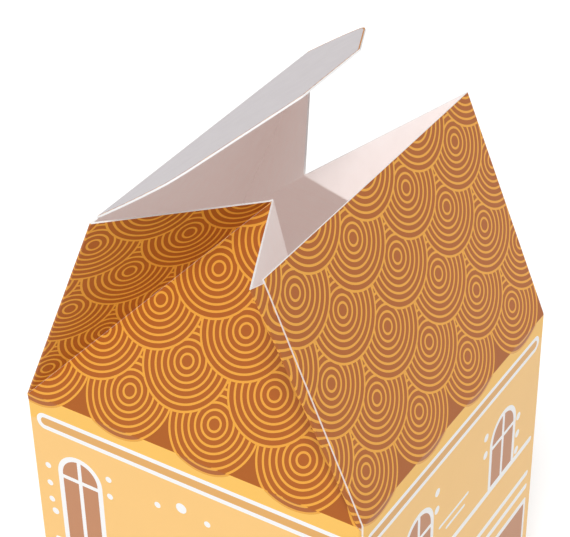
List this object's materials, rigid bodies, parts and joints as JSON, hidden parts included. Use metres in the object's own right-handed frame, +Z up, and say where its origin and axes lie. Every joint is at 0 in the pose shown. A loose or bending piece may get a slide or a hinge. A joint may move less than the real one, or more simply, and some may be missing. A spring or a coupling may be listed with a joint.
{
  "type": "house gift box",
  "caption": "House-shaped folding carton: a square box under a gable roof of two slopes joined by folded web gussets, with a tuck flap hinged on one ridge edge.",
  "frame": {"origin": "centre of the square footprint, on the underside of the base", "axes": "+Z up; +Y along the ridge, away from the glued gable; +X towards the roof slope without the flap"},
  "size_m": [0.1, 0.1048, 0.198],
  "materials": {
    "carton": "printed and varnished outside, uncoated inside",
    "closure_flap": "unprinted white board"
  },
  "bodies": {
    "carton": {"carton": "carton"},
    "closure_flap": {"closure_flap": "closure_flap"}
  },
  "joints": [
    {"name": "closure_flap_hinge", "type": "hinge", "parent": "carton", "child": "closure_flap", "pos_m": [-0.02357, 0, 0.17167], "axis": [0, 1, 0], "range_deg": [-123, 42]}
  ]
}
